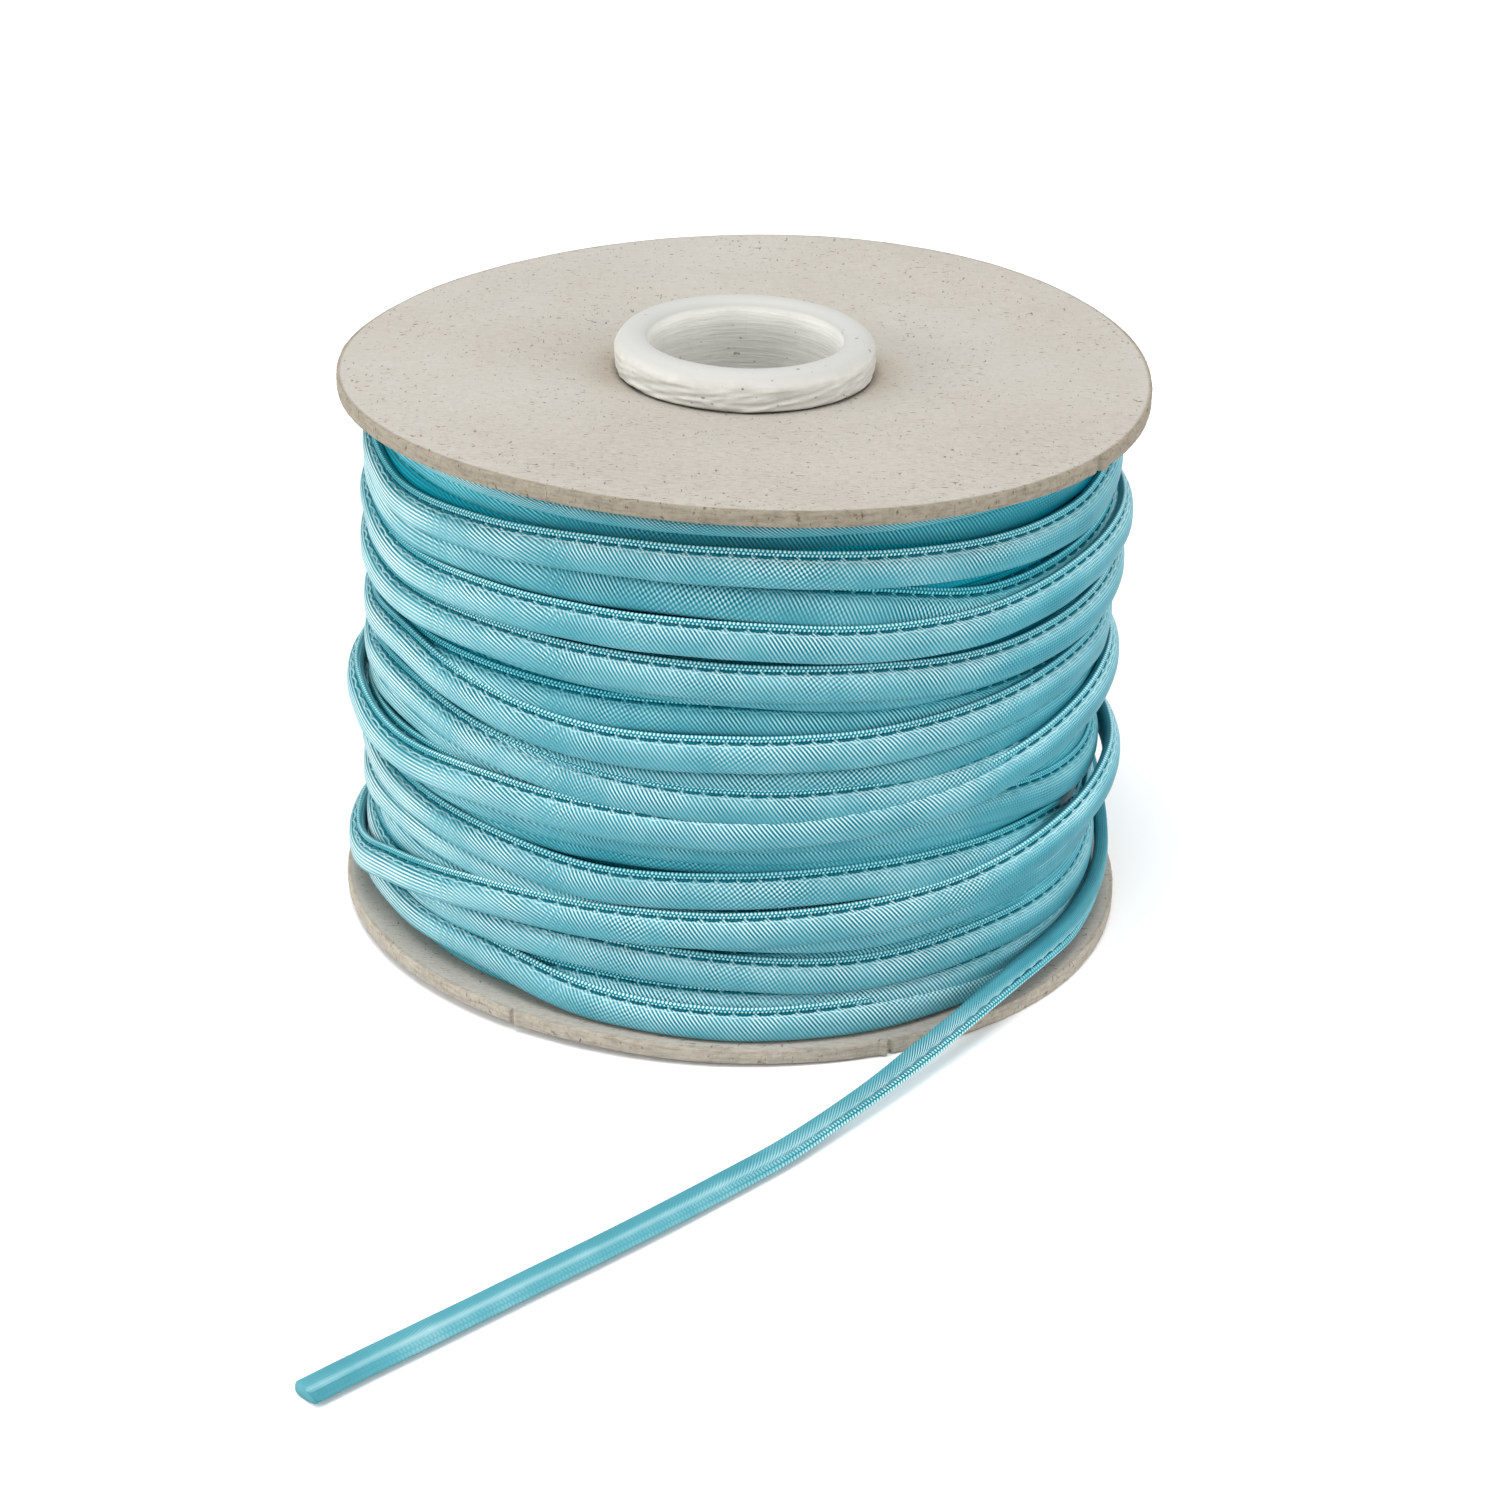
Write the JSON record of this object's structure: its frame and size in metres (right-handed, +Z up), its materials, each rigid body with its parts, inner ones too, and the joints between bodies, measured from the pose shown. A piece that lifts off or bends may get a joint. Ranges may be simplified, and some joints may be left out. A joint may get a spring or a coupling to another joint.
{
  "type": "roll of lacing cord on a board spool",
  "caption": "Roll of flat satin lacing cord with a stitched edge, wound between two board discs on a paper tube with a rolled rim, its loose end lying free.",
  "frame": {"origin": "on the surface under the middle of the spool's axis", "axes": "+Z up along the spool's axis; the loose end leaves on the +X side and runs out towards -Y"},
  "size_m": [0.1, 0.17, 0.076],
  "materials": {
    "board": "matt pressed grey board, flecked",
    "paper": "white wound paper, slightly crumpled rim",
    "satin": "aqua satin on the bias, stitched edge"
  },
  "bodies": {
    "root": {"disc_bottom": "board", "disc_top": "board", "core_tube": "paper", "winding": "satin", "loose_end": "satin"}
  },
  "joints": []
}
